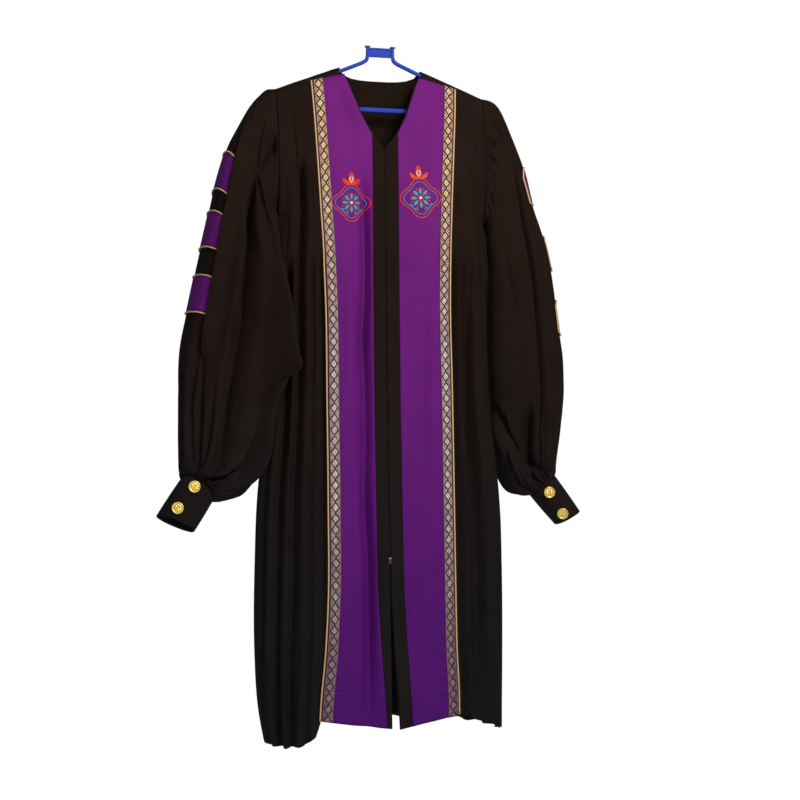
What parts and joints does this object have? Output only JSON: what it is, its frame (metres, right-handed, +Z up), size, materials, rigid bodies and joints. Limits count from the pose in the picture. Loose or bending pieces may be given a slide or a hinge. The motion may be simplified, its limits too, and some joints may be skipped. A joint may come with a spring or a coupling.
{
  "type": "preaching gown on hanger",
  "caption": "Long black preaching gown with a zipped front, purple panels, piped sleeve bars and buttoned cuffs, held on a clip-style plastic hanger.",
  "frame": {"origin": "middle of the underside of the web between the two posts of the hanger's head, where a rail or hook holds it up", "axes": "+Z up, -Y out of the gown's front, +X towards the wearer's left"},
  "size_m": [0.8644, 0.2149, 1.3775],
  "materials": {
    "gown_cloth": "matt black twill with a faint sheen",
    "purple_cloth": "purple satin-backed cloth, softly shiny",
    "ribbon": "woven gold and purple brocade braid",
    "piping": "gold satin piping",
    "button_metal": "gold-coloured stamped metal",
    "slider_metal": "dull zinc",
    "zip_tape": "black woven tape with black teeth",
    "hanger_plastic": "moulded blue plastic"
  },
  "bodies": {
    "root": {"back": "gown_cloth", "yoke": "gown_cloth", "front_right": "gown_cloth", "front_left": "gown_cloth", "sleeve_right": "gown_cloth", "sleeve_left": "gown_cloth", "cuff_right": "gown_cloth", "cuff_left": "gown_cloth", "panel_right": "purple_cloth", "panel_left": "purple_cloth", "ribbon_right": "ribbon", "ribbon_left": "ribbon", "panel_piping_right": "piping", "panel_piping_left": "piping", "bar_upper_right": "purple_cloth", "bar_upper_left": "purple_cloth", "bar_middle_right": "purple_cloth", "bar_middle_left": "purple_cloth", "bar_lower_right": "purple_cloth", "bar_lower_left": "purple_cloth", "bar_piping_upper_right": "piping", "bar_piping_upper_left": "piping", "bar_piping_middle_right": "piping", "bar_piping_middle_left": "piping", "bar_piping_lower_right": "piping", "bar_piping_lower_left": "piping", "button_upper_right": "button_metal", "button_upper_left": "button_metal", "button_lower_right": "button_metal", "button_lower_left": "button_metal", "zip": "zip_tape", "zip_slider": "slider_metal", "hanger": "hanger_plastic"}
  },
  "joints": []
}
